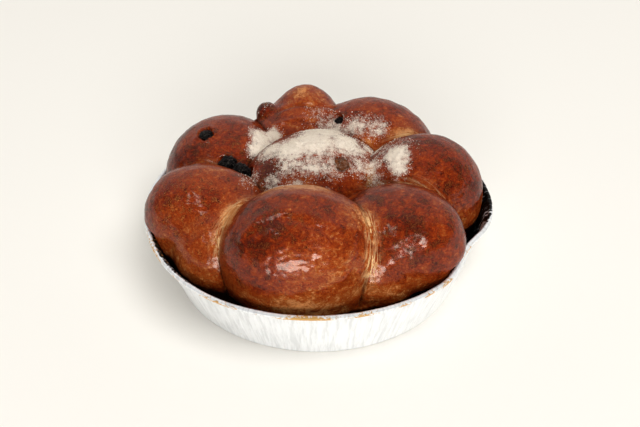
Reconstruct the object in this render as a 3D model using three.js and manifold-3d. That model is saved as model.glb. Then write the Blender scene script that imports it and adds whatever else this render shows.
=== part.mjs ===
// A round pull-apart loaf with raisins, in the foil pan it was baked in.
// Seven soft buns stand in a ring round an eighth, all baked into one loaf that fills the pan and
// domes up over its rolled rim. Raisins sit in the crust and in the seams between the buns.
//
// Millimetres, +Z up. The origin is the centre of the pan's base, on the surface it stands on.
// -Y is the front, where the widest bun is, and angles turn from +X towards +Y.
import * as THREE from "three";
import { mergeVertices } from "three/addons/utils/BufferGeometryUtils.js";
import Module from "manifold-3d";

const wasm = await Module();
wasm.setup();

// ---- driving dimensions -------------------------------------------------------------------------

const PAN = {
  baseRadius: 88.3, // outside of the wall where it meets the base
  rimRadius: 105.5, // inside of the rolled rim
  height: 44,
  foil: 0.6,
  bead: 1.4, // radius of the rolled rim
  corner: 2.5, // height of the rounded corner between base and wall
  panelRadius: 58, // the raised middle of the base
  panelRise: 1,
  segments: 64,
};

// The soft foil is a little out of true: tilted, dented at one place and flattened at another.
const SETTLED = {
  tilt: 0.014, // the rim stands this much higher for each millimetre towards +X
  dents: [
    { angle: -27, spread: 13, depth: 8.5 },
    { angle: -165, spread: 28, depth: 2.3 },
  ],
};

const CLEARANCE = 0.4; // between two pieces that touch

// Each bun: the angle and reach of its middle from the pan's axis, the height of its middle, its
// half sizes outwards (deep), round the ring (wide) and up (tall), how it turns and leans, and how
// full its lower half is (2 would be an ellipsoid).
const BUNS = {
  front: { at: -100, reach: 58, level: 48, deep: 39, wide: 47, tall: 44, turn: 9, lean: 9, full: 2.3 },
  frontRight: { at: -43, reach: 61, level: 49, deep: 44, wide: 34, tall: 32, turn: 17, lean: -21, full: 2.4 },
  frontRightFlank: { at: -60, reach: 61, level: 40, deep: 32, wide: 26, tall: 30, full: 2.4 },
  right: { at: 8, reach: 64, level: 46, deep: 40, wide: 34, tall: 39, turn: 6, lean: -3, full: 2.2 },
  backRight: { at: 57, reach: 68, level: 43, deep: 34, wide: 43, tall: 39, turn: 4, lean: 3, full: 2.8 },
  back: { at: 99, reach: 63, level: 42, deep: 38, wide: 38, tall: 36, full: 2.8 },
  backCrown: { at: 96, reach: 76, level: 51, deep: 25, wide: 24, tall: 32, full: 2.8 },
  backLeft: { at: 144, reach: 72, level: 39, deep: 39, wide: 40, tall: 38, turn: 0, lean: 3, full: 2.8 },
  left: { at: 193, reach: 67, level: 43, deep: 41, wide: 32, tall: 36, turn: -27, lean: -5, full: 2.2 },
  leftFlank: { at: 213, reach: 59, level: 37, deep: 38, wide: 33, tall: 31, full: 2.6 },
  centre: { at: 104, reach: 10, level: 47, deep: 39, wide: 47, tall: 38, turn: 7, lean: 0, full: 2.8 },
  farKnob: { at: 115.5, reach: 75, level: 69.5, deep: 7.5, wide: 7, tall: 6.8, full: 3 },
};
const BUN_DETAIL = 6;
const KNOB_DETAIL = 2;

// The dough below the buns, which fills the bottom of the pan and the middle of the ring.
const FOOT = {
  radius: 86,
  girth: 91,
  girthHeight: 20,
  shoulder: 86,
  shoulderHeight: 29,
  core: 55,
  coreTop: 50,
};

// Each raisin: the middle of its body, its half sizes along, across and up, and how it is turned.
const RAISINS = {
  raisin_seam_left: { x: -54.8, y: 12, z: 66, size: [5.4, 5.6, 4.8], turn: 30, tip: -10 },
  raisin_seam_right: { x: -46.4, y: 2, z: 67, size: [5.6, 5.2, 4.8], turn: -20, tip: 12 },
  raisin_back_left: { x: -69.3, y: 34.4, z: 73.2, size: [4.2, 3.8, 3], turn: 15, tip: 8 },
  raisin_back_seam: { x: 14.4, y: 53.2, z: 71.9, size: [3.2, 2.8, 2.6], turn: 60, tip: 0 },
  raisin_centre: { x: 14.5, y: -5.2, z: 77.4, size: [4.8, 3.8, 3.2], turn: 5, tip: 14 },
};
const RAISIN_DETAIL = 2;

// ---- helpers ------------------------------------------------------------------------------------

const radians = THREE.MathUtils.degToRad;

// A closed geometry as a manifold-3d solid.
function solidOf(geometry) {
  const bare = geometry.clone();
  bare.deleteAttribute("normal");
  bare.deleteAttribute("uv");
  const merged = mergeVertices(bare, 1e-4);
  const mesh = new wasm.Mesh({
    numProp: 3,
    vertProperties: new Float32Array(merged.attributes.position.array),
    triVerts: new Uint32Array(merged.index.array),
  });
  return new wasm.Manifold(mesh);
}

// A manifold-3d solid as a geometry.
function geometryOf(solid) {
  const mesh = solid.getMesh();
  const positions = new Float32Array(mesh.numVert * 3);
  for (let i = 0; i < mesh.numVert; i++) {
    const start = i * mesh.numProp;
    positions.set(mesh.vertProperties.subarray(start, start + 3), i * 3);
  }
  const geometry = new THREE.BufferGeometry();
  geometry.setAttribute("position", new THREE.BufferAttribute(positions, 3));
  geometry.setIndex(new THREE.BufferAttribute(new Uint32Array(mesh.triVerts), 1));
  geometry.computeVertexNormals();
  return geometry;
}

// Moves each vertex of a geometry by a function of its place.
function reshape(geometry, move) {
  const positions = geometry.attributes.position;
  const point = new THREE.Vector3();
  for (let i = 0; i < positions.count; i++) {
    point.fromBufferAttribute(positions, i);
    move(point);
    positions.setXYZ(i, point.x, point.y, point.z);
  }
  return geometry;
}

// A profile of [radius, height] turned about +Z.
function turned(profile, segments = PAN.segments) {
  const points = profile.map(([radius, height]) => new THREE.Vector2(radius, height));
  return new THREE.LatheGeometry(points, segments).rotateX(Math.PI / 2);
}

// Points of an arc round [radius, height], between two angles in degrees.
function arc([radius, height], size, from, to, steps) {
  return Array.from({ length: steps + 1 }, (_, i) => {
    const angle = radians(from + ((to - from) * i) / steps);
    return [radius + size * Math.cos(angle), height + size * Math.sin(angle)];
  });
}

// ---- the foil pan -------------------------------------------------------------------------------

const floorHeight = PAN.panelRise + PAN.foil;
const beadHeight = PAN.height - PAN.bead;
const wallSlope = (PAN.rimRadius - PAN.foil - PAN.baseRadius) / (beadHeight - PAN.corner);

// Outside radius of the sloping wall at a height.
const wallRadius = (height) => PAN.baseRadius + wallSlope * (height - PAN.corner);

// Lets the foil settle: the rim tilts, and is pressed in at two places.
function settle(point) {
  const share = THREE.MathUtils.clamp(point.z / PAN.height, 0, 1);
  const angle = THREE.MathUtils.radToDeg(Math.atan2(point.y, point.x));
  const radius = Math.hypot(point.x, point.y) || 1;
  let dent = 0;
  for (const { angle: at, spread, depth } of SETTLED.dents) {
    const turn = ((angle - at + 540) % 360) - 180;
    dent += depth * Math.exp(-((turn / spread) ** 2));
  }
  const inwards = 1 - (dent * share ** 2) / radius;
  point.z += SETTLED.tilt * point.x * share;
  point.x *= inwards;
  point.y *= inwards;
}

function panGeometry() {
  const { foil, bead, corner, panelRadius, panelRise } = PAN;
  const beadCentre = [PAN.rimRadius + bead, beadHeight];
  const profile = [
    [0, panelRise],
    [panelRadius, panelRise],
    [panelRadius + 2, 0],
    ...arc([PAN.baseRadius - corner, corner], corner, -90, -15, 3),
    [wallRadius(corner + 1), corner + 1],
    [wallRadius(beadHeight * 0.5), beadHeight * 0.5],
    [wallRadius(beadHeight - bead), beadHeight - bead],
    ...arc(beadCentre, bead, -120, 170, 6),
    [wallRadius(beadHeight - bead) - foil, beadHeight - bead],
    [wallRadius(beadHeight * 0.5) - foil, beadHeight * 0.5],
    [wallRadius(corner + 1) - foil, corner + 1],
    ...arc([PAN.baseRadius - corner, corner], corner - foil, -15, -90, 3),
    [panelRadius + 2, foil],
    [panelRadius, floorHeight],
    [0, floorHeight],
  ];
  return reshape(turned(profile), settle);
}

// Everything that the dough can't reach: the foil, what lies outside it, and a thin gap.
function outsideOfPan() {
  const inside = (height) => wallRadius(height) - PAN.foil - CLEARANCE;
  const floor = floorHeight + CLEARANCE;
  const top = PAN.height + CLEARANCE;
  const far = PAN.rimRadius + 30;
  const profile = [
    [0, -10],
    [far, -10],
    [far, top],
    [PAN.rimRadius - CLEARANCE, top],
    [inside(beadHeight - PAN.bead), beadHeight - PAN.bead],
    [inside(beadHeight * 0.5), beadHeight * 0.5],
    [inside(PAN.corner + 1), PAN.corner + 1],
    [inside(PAN.corner + 1) - 2, floor],
    [0, floor],
  ];
  return solidOf(reshape(turned(profile), settle));
}

// ---- the loaf -----------------------------------------------------------------------------------

function place(geometry, { at, reach, level, turn = 0, lean = 0 }) {
  geometry.rotateY(radians(lean));
  geometry.rotateZ(radians(at + turn));
  const angle = radians(at);
  return geometry.translate(reach * Math.cos(angle), reach * Math.sin(angle), level);
}

// One bun: round on top, and fuller below where the pan and its neighbours held it.
function bunSolid(bun) {
  const ball = new THREE.IcosahedronGeometry(1, bun.deep < 10 ? KNOB_DETAIL : BUN_DETAIL);
  reshape(ball, (point) => {
    const across = Math.hypot(point.x, point.y);
    if (point.z < 0 && across > 1e-6) {
      const fuller = (1 - (-point.z) ** bun.full) ** (1 / bun.full) / across;
      point.x *= fuller;
      point.y *= fuller;
    }
    point.x *= bun.deep;
    point.y *= bun.wide;
    point.z *= bun.tall;
  });
  return solidOf(place(ball, bun));
}

function footSolid() {
  const profile = [
    [0, floorHeight],
    [FOOT.radius, floorHeight],
    [FOOT.girth, FOOT.girthHeight],
    [FOOT.shoulder, FOOT.shoulderHeight],
    [FOOT.core, FOOT.coreTop],
    [0, FOOT.coreTop],
  ];
  return solidOf(turned(profile));
}

// ---- the raisins --------------------------------------------------------------------------------

// A wrinkled berry. Growth makes the pocket that it needs in the crust.
function raisinGeometry({ x, y, z, size, turn, tip }, growth = 0) {
  const berry = new THREE.IcosahedronGeometry(1, RAISIN_DETAIL);
  reshape(berry, (point) => {
    const wrinkle = 1 + 0.09 * Math.sin(5 * point.x + 2 * x) * Math.cos(4 * point.y + y);
    const body = point.clone().multiply(new THREE.Vector3(...size)).multiplyScalar(wrinkle);
    point.copy(body.addScaledVector(point, growth));
  });
  berry.rotateY(radians(tip));
  berry.rotateZ(radians(turn));
  return berry.translate(x, y, z);
}

// ---- assembly -----------------------------------------------------------------------------------

function loafGeometry() {
  let loaf = footSolid();
  for (const bun of Object.values(BUNS)) loaf = loaf.add(bunSolid(bun));
  loaf = loaf.subtract(outsideOfPan());
  for (const raisin of Object.values(RAISINS)) {
    loaf = loaf.subtract(solidOf(raisinGeometry(raisin, CLEARANCE)));
  }
  return geometryOf(loaf);
}

function piece(name, geometry, look) {
  const mesh = new THREE.Mesh(geometry, new THREE.MeshStandardMaterial(look));
  mesh.name = name;
  return mesh;
}

const CRUST = { color: 0x6e2a10, roughness: 0.4, metalness: 0 };
const FOIL = { color: 0xd9dad8, roughness: 0.35, metalness: 0.9 };
const RAISIN = { color: 0x120b0b, roughness: 0.45, metalness: 0 };

const part = new THREE.Group();
part.add(piece("foil_pan", panGeometry(), FOIL));
part.add(piece("bread", loafGeometry(), CRUST));
for (const [name, raisin] of Object.entries(RAISINS)) {
  part.add(piece(name, raisinGeometry(raisin), RAISIN));
}

export default part;
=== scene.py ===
# Looks of the pull-apart loaf: glazed buns, raisins, sugar and the foil pan, on the CAD frame.
import math
import random
import bpy
import bmesh
import numpy as np
from mathutils import Matrix, Vector, noise


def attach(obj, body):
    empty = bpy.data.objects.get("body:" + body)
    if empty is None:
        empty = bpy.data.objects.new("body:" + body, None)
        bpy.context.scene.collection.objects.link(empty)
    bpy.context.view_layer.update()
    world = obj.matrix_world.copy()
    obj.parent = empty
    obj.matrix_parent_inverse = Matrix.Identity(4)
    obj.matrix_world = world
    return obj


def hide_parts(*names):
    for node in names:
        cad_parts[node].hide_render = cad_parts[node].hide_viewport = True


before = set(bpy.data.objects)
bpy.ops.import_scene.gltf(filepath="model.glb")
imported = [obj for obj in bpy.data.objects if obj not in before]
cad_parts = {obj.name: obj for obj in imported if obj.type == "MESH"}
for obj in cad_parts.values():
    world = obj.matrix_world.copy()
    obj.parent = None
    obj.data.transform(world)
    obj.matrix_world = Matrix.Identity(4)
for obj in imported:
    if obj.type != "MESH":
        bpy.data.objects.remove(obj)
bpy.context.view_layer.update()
print("frame loaded")

mm = 0.001


def tone(red, green, blue):
    # a screen colour, 0 to 255, as the shader wants it
    def linear(part):
        part /= 255
        return part / 12.92 if part < 0.04 else ((part + 0.055) / 1.055) ** 2.4
    return (linear(red), linear(green), linear(blue), 1)


def linkMesh(name, bm, material):
    mesh = bpy.data.meshes.new(name)
    bm.to_mesh(mesh)
    bm.free()
    mesh.materials.append(material)
    for face in mesh.polygons:
        face.use_smooth = True
    piece = bpy.data.objects.new(name, mesh)
    bpy.context.scene.collection.objects.link(piece)
    return piece


def paint(piece, name, values):
    # a value for each vertex, which the material reads by name
    layer = piece.data.attributes.new(name, "FLOAT", "POINT")
    layer.data.foreach_set("value", np.asarray(values, dtype=np.float32))


# Shader helpers: each adds nodes to a material or a group and gives back the socket to use.

def addNode(tree, kind, **values):
    node = tree.nodes.new("ShaderNode" + kind)
    for key, value in values.items():
        setattr(node, key, value)
    return node


def plug(tree, value, socket):
    # a link from another node's output, or a plain value
    if isinstance(value, bpy.types.NodeSocket):
        tree.links.new(value, socket)
    else:
        socket.default_value = value


def sums(tree, operation, first, second=0.0, clamp=False):
    node = addNode(tree, "Math", operation=operation, use_clamp=clamp)
    plug(tree, first, node.inputs[0])
    plug(tree, second, node.inputs[1])
    return node.outputs[0]


def spread(tree, value, low, high, outLow=0.0, outHigh=1.0):
    # from one range to another, eased at both ends
    node = addNode(tree, "MapRange", interpolation_type="SMOOTHSTEP")
    plug(tree, value, node.inputs["Value"])
    for name, part in (("From Min", low), ("From Max", high), ("To Min", outLow), ("To Max", outHigh)):
        plug(tree, part, node.inputs[name])
    return node.outputs["Result"]


def blendColours(tree, share, first, second):
    node = addNode(tree, "Mix", data_type="RGBA")
    plug(tree, share, node.inputs["Factor"])
    plug(tree, first, node.inputs[6])
    plug(tree, second, node.inputs[7])
    return node.outputs[2]


def noiseAt(tree, place, scale, detail=3.0, rough=0.5, warp=0.0):
    node = addNode(tree, "TexNoise")
    parts = {"Vector": place, "Scale": scale, "Detail": detail, "Roughness": rough, "Distortion": warp}
    for name, part in parts.items():
        plug(tree, part, node.inputs[name])
    return node.outputs["Fac"]


def stretched(tree, place, along):
    node = addNode(tree, "Mapping")
    plug(tree, place, node.inputs["Vector"])
    node.inputs["Scale"].default_value = along
    return node.outputs["Vector"]


def vectorSum(tree, operation, first, second, socket=1):
    # the second part goes into input 1, or into the one called Scale
    node = addNode(tree, "VectorMath", operation=operation)
    plug(tree, first, node.inputs[0])
    plug(tree, second, node.inputs[socket])
    return node.outputs["Vector"]


def objectPlace(tree):
    return addNode(tree, "TexCoord").outputs["Object"]


def painted(tree, name):
    return addNode(tree, "Attribute", attribute_type="GEOMETRY", attribute_name=name).outputs["Fac"]


def bumpFrom(tree, height, distance, strength=1.0, below=None):
    node = addNode(tree, "Bump")
    node.inputs["Distance"].default_value = distance
    node.inputs["Strength"].default_value = strength
    plug(tree, height, node.inputs["Height"])
    if below is not None:
        plug(tree, below, node.inputs["Normal"])
    return node.outputs["Normal"]


def ramp(tree, value, stops):
    node = addNode(tree, "ValToRGB")
    bar = node.color_ramp.elements
    while len(bar) < len(stops):
        bar.new(0.5)
    for stop, (position, colour) in zip(bar, stops):
        stop.position = position
        stop.color = colour
    plug(tree, value, node.inputs[0])
    return node.outputs[0]


def newGroup(name, inputs, outputs):
    tree = bpy.data.node_groups.new(name, "ShaderNodeTree")
    for title, value in inputs.items():
        socket = tree.interface.new_socket(title, in_out="INPUT", socket_type="NodeSocketFloat")
        socket.default_value = value
    for title in outputs:
        tree.interface.new_socket(title, in_out="OUTPUT", socket_type="NodeSocketFloat")
    return tree, tree.nodes.new("NodeGroupInput"), tree.nodes.new("NodeGroupOutput")


def useGroup(tree, group, **values):
    node = tree.nodes.new("ShaderNodeGroup")
    node.node_tree = group
    for title, value in values.items():
        plug(tree, value, node.inputs[title])
    return node


def newMaterial(name):
    material = bpy.data.materials.new(name)
    material.use_nodes = True
    tree = material.node_tree
    return material, tree, tree.nodes["Principled BSDF"]


def makeSugarDust():
    # powdered sugar: how much lies at a place, broken into fine powder and small clumps
    group, given, result = newGroup("sugarDust", {"Amount": 0.5, "Grain": 1000.0}, ["Cover", "Height"])
    amount, grain, place = given.outputs["Amount"], given.outputs["Grain"], objectPlace(group)
    powder = noiseAt(group, place, sums(group, "MULTIPLY", grain, 1.3), 3.0, 0.7)
    clumps = noiseAt(group, place, sums(group, "MULTIPLY", grain, 0.3), 4.0, 0.7)
    mixed = sums(group, "ADD", sums(group, "MULTIPLY", powder, 0.45), sums(group, "MULTIPLY", clumps, 0.55))
    threshold = sums(group, "SUBTRACT", 0.69, sums(group, "MULTIPLY", amount, 0.38))
    cover = spread(group, sums(group, "SUBTRACT", mixed, threshold), -0.1, 0.14)
    # none where there is no amount, and thinner where there is little
    cover = sums(group, "MULTIPLY", cover, sums(group, "MULTIPLY", amount, 9.0, True))
    cover = sums(group, "MULTIPLY", cover, sums(group, "ADD", 0.62, sums(group, "MULTIPLY", amount, 0.38), True))
    plug(group, cover, result.inputs["Cover"])
    plug(group, sums(group, "MULTIPLY", cover, mixed), result.inputs["Height"])
    return group


def makeFineWrinkles():
    # fine wrinkles, longer one way than the other by the stretch of their coordinates
    group, given, result = newGroup("fineWrinkles", {"Scale": 500.0, "Upright": 2.0}, ["Height"])
    stretch = addNode(group, "CombineXYZ")
    stretch.inputs[0].default_value = 1.0
    stretch.inputs[1].default_value = 1.0
    plug(group, given.outputs["Upright"], stretch.inputs[2])
    place = vectorSum(group, "MULTIPLY", objectPlace(group), stretch.outputs[0])
    folds = noiseAt(group, place, given.outputs["Scale"], 4.0, 0.55, 0.9)
    creases = sums(group, "ABSOLUTE", sums(group, "SUBTRACT", folds, 0.5))
    plug(group, spread(group, creases, 0.0, 0.16), result.inputs["Height"])
    return group


def makeFoilGrain():
    # streaks up the pan's sloping wall, whose place is measured round the pan and up it
    values = {"Scale": 700.0, "Along": 0.12, "Detail": 3.0, "Rough": 0.6}
    group, given, result = newGroup("foilGrain", values, ["Grain"])
    place = objectPlace(group)
    flat = stretched(group, place, (1, 1, 0))
    distance = addNode(group, "VectorMath", operation="LENGTH")
    plug(group, flat, distance.inputs[0])
    outwards = sums(group, "MAXIMUM", distance.outputs["Value"], 0.088)      # the base keeps its own place
    onWall = vectorSum(group, "SCALE", flat, sums(group, "DIVIDE", 0.1, outwards), "Scale")
    upwards = vectorSum(group, "SCALE", stretched(group, place, (0, 0, 1)), given.outputs["Along"], "Scale")
    streaks = noiseAt(group, vectorSum(group, "ADD", onWall, upwards), given.outputs["Scale"],
                      given.outputs["Detail"], given.outputs["Rough"])
    plug(group, streaks, result.inputs["Grain"])
    return group


def makeFoilStain():
    # baked-on drips with broken edges
    group, given, result = newGroup("foilStain", {"Stain": 0.5}, ["Cover"])
    blotch = noiseAt(group, stretched(group, objectPlace(group), (1, 1, 1.8)), 480.0, 4.0, 0.7, 0.5)
    spilt = sums(group, "MULTIPLY", given.outputs["Stain"], 0.55)
    spilt = sums(group, "ADD", spilt, sums(group, "SUBTRACT", blotch, 0.5))
    plug(group, spread(group, spilt, 0.16, 0.3), result.inputs["Cover"])
    return group


sugarDust = makeSugarDust()
fineWrinkles = makeFineWrinkles()
foilGrain = makeFoilGrain()
foilStain = makeFoilStain()
print("shader groups made")

# The crust's screen colours from the palest to the darkest baking, its grain and its glaze.
crustLook = {
    "palest": (212, 138, 80),
    "golden": (168, 86, 36),
    "amber": (150, 57, 14),
    "redBrown": (121, 34, 6),
    "mahogany": (68, 14, 3),
    "streak": (206, 118, 54),
    "thread": (240, 196, 138),
    # painted shade, dark, for the creases between the buns and the low band by the foil
    "creaseShade": (22, 7, 3),
    "sugar": (243, 229, 211),
    "glint": (255, 214, 176),
    "gloss": 0.45,
    "glazeRoughness": 0.18,
    # scale of each grain, and how far it changes the baking
    "broad": 60.0, "broadShare": 0.9,
    "patches": 210.0, "patchesShare": 1.9,
    "speckle": 700.0, "speckleShare": 1.4,
    "specks": 0.3,
    "fibre": 560.0, "fibreWidth": 0.045,
    "strand": 75, "strandWidth": 0.08,
    "wrinkle": 420.0,
    # how deep the bumps are, in metres
    "wrinkleDepth": 0.0005, "speckleDepth": 0.0009, "threadDepth": 0.0002, "sugarDepth": 0.0006,
}


def ridged(tree, value, width):
    # thin lines where a noise passes its middle
    return spread(tree, sums(tree, "ABSOLUTE", sums(tree, "SUBTRACT", value, 0.5)), 0.0, width, 1.0, 0.0)


def makeCrust():
    look = crustLook
    material, tree, shader = newMaterial("glazedCrust")
    place = objectPlace(tree)
    broad = noiseAt(tree, place, look["broad"], 3.0, 0.55, 0.6)
    patches = noiseAt(tree, place, look["patches"], 5.0, 0.68, 0.8)
    speckle = noiseAt(tree, stretched(tree, place, (0.8, 0.8, 1.3)), look["speckle"], 3.0, 0.7, 0.4)
    baked = painted(tree, "bake")
    for part, name in ((broad, "broad"), (patches, "patches"), (speckle, "speckle")):
        change = sums(tree, "MULTIPLY", sums(tree, "SUBTRACT", part, 0.5), look[name + "Share"])
        baked = sums(tree, "ADD", baked, change)
    baked = sums(tree, "SUBTRACT", baked, spread(tree, speckle, 0.53, 0.68, 0.0, look["specks"]))
    stops = {"palest": 0.0, "golden": 0.25, "amber": 0.48, "redBrown": 0.74, "mahogany": 1.0}
    colour = ramp(tree, baked, [(position, tone(*look[name])) for name, position in stops.items()])
    # pale fibres of stretched skin, in patches
    fibres = noiseAt(tree, stretched(tree, place, (1.5, 1.5, 0.42)), look["fibre"], 3.0, 0.6, 1.2)
    fibres = sums(tree, "MULTIPLY", ridged(tree, fibres, look["fibreWidth"]), spread(tree, patches, 0.44, 0.62))
    fibres = sums(tree, "MULTIPLY", fibres, painted(tree, "fibre"))
    colour = blendColours(tree, fibres, colour, tone(*look["streak"]))
    # threads that run along the seams between the buns
    along = addNode(tree, "CombineXYZ")
    plug(tree, sums(tree, "MULTIPLY", painted(tree, "gap"), 0.5), along.inputs[0])
    course = addNode(tree, "VectorMath", operation="MULTIPLY_ADD")
    plug(tree, place, course.inputs[0])
    course.inputs[1].default_value = (look["strand"],) * 3
    plug(tree, along.outputs[0], course.inputs[2])
    strands = ridged(tree, noiseAt(tree, course.outputs[0], 1.0, 4.0, 0.62, 0.5), look["strandWidth"])
    strands = sums(tree, "MULTIPLY", strands, painted(tree, "threads"), True)
    colour = blendColours(tree, strands, colour, tone(*look["thread"]))
    # painted shade: the crust darkens in the creases between the buns and low down by the foil
    colour = blendColours(tree, painted(tree, "creaseShade"), colour, tone(*look["creaseShade"]))
    sugar = useGroup(tree, sugarDust, Amount=painted(tree, "sugar"))
    shown = blendColours(tree, sugar.outputs["Cover"], colour, tone(*look["sugar"]))
    plug(tree, shown, shader.inputs["Base Color"])
    # no glaze on sugar, in the painted crease shade or, mostly, on the stretched threads
    dull = sums(tree, "MAXIMUM", sugar.outputs["Cover"], painted(tree, "creaseShade"))
    dull = sums(tree, "MAXIMUM", dull, sums(tree, "MULTIPLY", painted(tree, "threads"), 0.75))
    glazed = sums(tree, "SUBTRACT", 1.0, dull, True)
    plug(tree, sums(tree, "MULTIPLY", glazed, look["gloss"]), shader.inputs["Coat Weight"])
    roughness = spread(tree, patches, 0.3, 0.7, 0.42, 0.58)
    plug(tree, sums(tree, "MAXIMUM", roughness, sugar.outputs["Cover"]), shader.inputs["Roughness"])
    shader.inputs["Coat Roughness"].default_value = look["glazeRoughness"]
    shader.inputs["Specular IOR Level"].default_value = 0.03
    shader.inputs["Specular Tint"].default_value = tone(*look["glint"])
    folded = useGroup(tree, fineWrinkles, Scale=look["wrinkle"])
    normal = bumpFrom(tree, folded.outputs["Height"], look["wrinkleDepth"], 0.9)
    normal = bumpFrom(tree, speckle, look["speckleDepth"], 0.9, normal)
    normal = bumpFrom(tree, strands, look["threadDepth"], 0.9, normal)
    normal = bumpFrom(tree, sugar.outputs["Height"], look["sugarDepth"], 1.0, normal)
    plug(tree, normal, shader.inputs["Normal"])
    return material


crust = makeCrust()
print("crust material made")

# Each bun, in millimetres and degrees, as in the CAD model: where its middle is, its turn and lean,
# its half sizes outwards, round the ring and up, and how full its lower half is.
buns = {
    "front": {"at": -100, "reach": 58, "level": 48, "turn": 9, "lean": 9,
              "deep": 39, "wide": 47, "tall": 44, "full": 2.3},
    "frontRight": {"at": -43, "reach": 61, "level": 49, "turn": 17, "lean": -21,
                   "deep": 44, "wide": 34, "tall": 32, "full": 2.4},
    "frontRightFlank": {"at": -60, "reach": 61, "level": 40, "turn": 0, "lean": 0,
                        "deep": 32, "wide": 26, "tall": 30, "full": 2.4},
    "right": {"at": 8, "reach": 64, "level": 46, "turn": 6, "lean": -3,
              "deep": 40, "wide": 34, "tall": 39, "full": 2.2},
    "backRight": {"at": 57, "reach": 68, "level": 43, "turn": 4, "lean": 3,
                  "deep": 34, "wide": 43, "tall": 39, "full": 2.8},
    "back": {"at": 99, "reach": 63, "level": 42, "turn": 0, "lean": 0,
             "deep": 38, "wide": 38, "tall": 36, "full": 2.8},
    "backCrown": {"at": 96, "reach": 76, "level": 51, "turn": 0, "lean": 0,
                  "deep": 25, "wide": 24, "tall": 32, "full": 2.8},
    "backLeft": {"at": 144, "reach": 72, "level": 39, "turn": 0, "lean": 3,
                 "deep": 39, "wide": 40, "tall": 38, "full": 2.8},
    "left": {"at": 193, "reach": 67, "level": 43, "turn": -27, "lean": -5,
             "deep": 41, "wide": 32, "tall": 36, "full": 2.2},
    "leftFlank": {"at": 213, "reach": 59, "level": 37, "turn": 0, "lean": 0,
                  "deep": 38, "wide": 33, "tall": 31, "full": 2.6},
    "centre": {"at": 104, "reach": 10, "level": 47, "turn": 7, "lean": 0,
               "deep": 39, "wide": 47, "tall": 38, "full": 2.8},
    "farKnob": {"at": 115.5, "reach": 75, "level": 69.5, "turn": 0, "lean": 0,
                "deep": 7.5, "wide": 7, "tall": 6.8, "full": 3},
}
# parts of one bun, which run into each other more softly than two buns do
families = [["front"], ["frontRight", "frontRightFlank"], ["right"], ["backRight"],
            ["back", "backCrown", "farKnob"], ["backLeft"], ["left", "leftFlank"], ["centre"]]
dough = {
    "voxel": 2.1,          # mm, halved again on what shows
    "shownAbove": 33,      # mm
    "seam": 0.75,          # how softly two buns meet, in mm
    "family": 2.0,         # how softly the parts of one bun meet
    "backFamily": 0.9,
    "edge": 1.2,           # rounding where the loaf meets the foil, in mm
    "footRadius": 86, "footGirth": 91, "footGirthHeight": 20, "footShoulder": 86,
    "footShoulderHeight": 29, "footCore": 55, "footTop": 50,
    "floor": 2.0,
    "clear": 0.4,          # from the foil
    "free": 1.5,           # above the rim, where the foil no longer holds it
}
# The foil pan in mm. The solid foil of the CAD model is thicker than the foil that shows.
pan = {
    "baseRadius": 88.3, "rimRadius": 105.5, "height": 44, "bead": 1.4, "corner": 2.5,
    "cadFoil": 0.6, "foil": 0.2,
    "panelRadius": 58, "panelRise": 1,
    "tilt": 0.014,
    "dents": [(-27, 13, 8.5), (-165, 28, 2.3)],   # degrees round, spread, depth
    "around": 1200,        # divisions round the pan
    "wedges": 16,          # the first is spun, the others are copied from it
    "pleat": 0.55,         # pleats per mm round the wall
    "pleatDepth": 0.34,
    "buckle": 0.5,
}
wallRise = pan["height"] - pan["bead"] - pan["corner"]
wallSlope = (pan["rimRadius"] - pan["cadFoil"] - pan["baseRadius"]) / wallRise


def settleShare(x, y, z):
    # how far the soft foil is pushed in and tilted here, as in the CAD model
    share = np.clip(z / pan["height"], 0, 1)
    inwards = 0
    for at, size, depth in pan["dents"]:
        turn = (np.degrees(np.arctan2(y, x)) - at + 180) % 360 - 180
        inwards = inwards + depth * np.exp(-(turn / size) ** 2) * share ** 2
    return inwards, pan["tilt"] * x * share


def bunFrame(bun):
    at, lean = math.radians(bun["at"]), math.radians(bun["lean"])
    turn = Matrix.Rotation(math.radians(bun["at"] + bun["turn"]), 3, "Z") @ Matrix.Rotation(lean, 3, "Y")
    middle = Vector((bun["reach"] * math.cos(at), bun["reach"] * math.sin(at), bun["level"]))
    return middle, turn


def bunDistance(points, bun):
    # about how far each point is outside one bun
    middle, turn = bunFrame(bun)
    half = np.array([bun["deep"], bun["wide"], bun["tall"]])
    offset = points - np.array(middle)
    away = np.linalg.norm(offset, axis=1) - half.max()
    near = away < 14
    local = offset[near] @ np.array(turn)
    unit = local / half
    across = np.hypot(unit[:, 0], unit[:, 1]) + 1e-6
    upright = np.abs(unit[:, 2]) + 1e-6
    power = np.where(unit[:, 2] < 0, bun["full"], 2.0)
    level = (across ** power + upright ** power) ** (1 / power)
    slope = (across / level) ** (power - 1)
    sideways = (slope / across)[:, None] * unit[:, :2] / half[:2]
    steep = np.sqrt((sideways ** 2).sum(axis=1) + ((upright / level) ** (power - 1) / half[2]) ** 2)
    away[near] = (level - 1) / steep
    return away


def footDistance(points):
    radius = np.hypot(points[:, 0], points[:, 1])
    corners = [(dough["footRadius"], 0), (dough["footGirth"], dough["footGirthHeight"]),
               (dough["footShoulder"], dough["footShoulderHeight"]), (dough["footCore"], dough["footTop"]),
               (0, dough["footTop"])]
    outside = np.full(len(points), -1e3)
    for (r0, z0), (r1, z1) in zip(corners, corners[1:]):
        side = (radius - r0) * (z1 - z0) - (points[:, 2] - z0) * (r1 - r0)
        outside = np.maximum(outside, side / math.hypot(r1 - r0, z1 - z0))
    return outside


def panDistance(points):
    # how far each point is past the foil's inner face
    x, y, z = points.T
    inwards, lift = settleShare(x, y, z)
    radius = np.hypot(x, y)
    height = np.clip(z - lift, pan["corner"], None)
    wall = pan["baseRadius"] + wallSlope * (height - pan["corner"]) - inwards
    past = (radius - wall + pan["cadFoil"] + dough["clear"]) / math.hypot(1, wallSlope)
    over = pan["height"] + dough["free"] + lift - z
    return np.maximum(np.minimum(past, over), dough["floor"] - z)


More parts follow.
